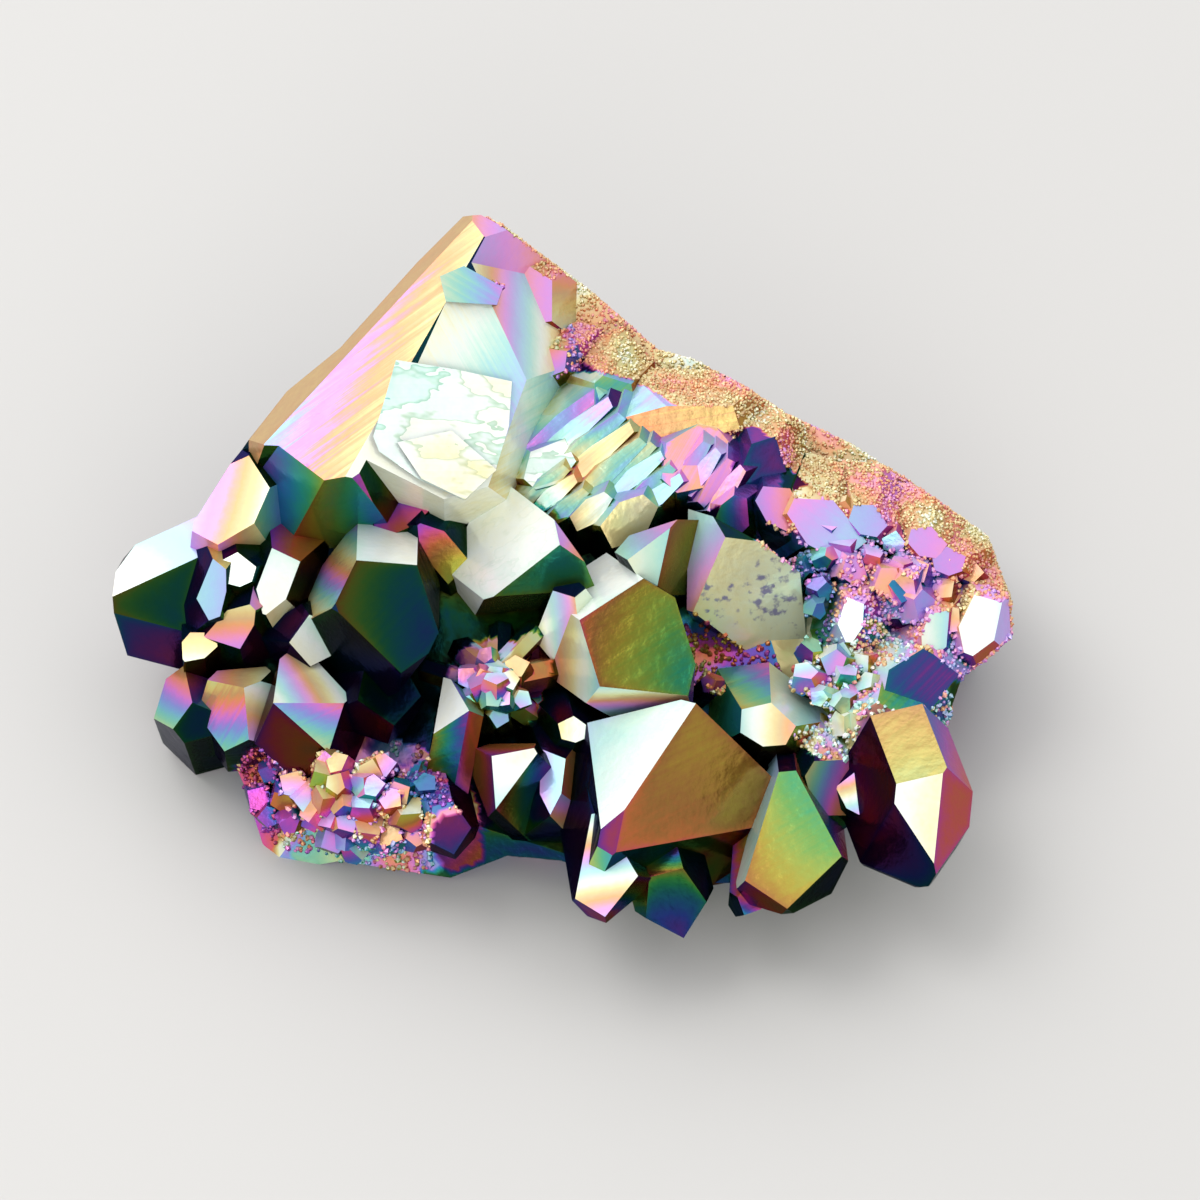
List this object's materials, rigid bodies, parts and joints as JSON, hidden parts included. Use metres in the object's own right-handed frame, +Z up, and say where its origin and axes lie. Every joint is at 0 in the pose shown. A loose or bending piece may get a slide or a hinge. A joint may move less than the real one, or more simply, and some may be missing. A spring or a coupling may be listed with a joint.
{
  "type": "aura quartz cluster",
  "caption": "Cluster of metal-filmed aura quartz points grown over a sloping piece of broken crust, cut flat underneath so that it stands as a display specimen.",
  "frame": {"origin": "centre of the bounding box at its underside, on the flat cut that the cluster rests on", "axes": "+Z up; the growth face with the points slopes towards -Y, the front; +X to the right seen from the front; the longest extent runs along X"},
  "size_m": [0.0602, 0.053, 0.029],
  "materials": {
    "aura_quartz": "mirror-smooth crystal faces and sugary druse under a thin metal film that shows shifting rainbow colours"
  },
  "bodies": {
    "root": {"quartz_cluster": "aura_quartz"}
  },
  "joints": []
}
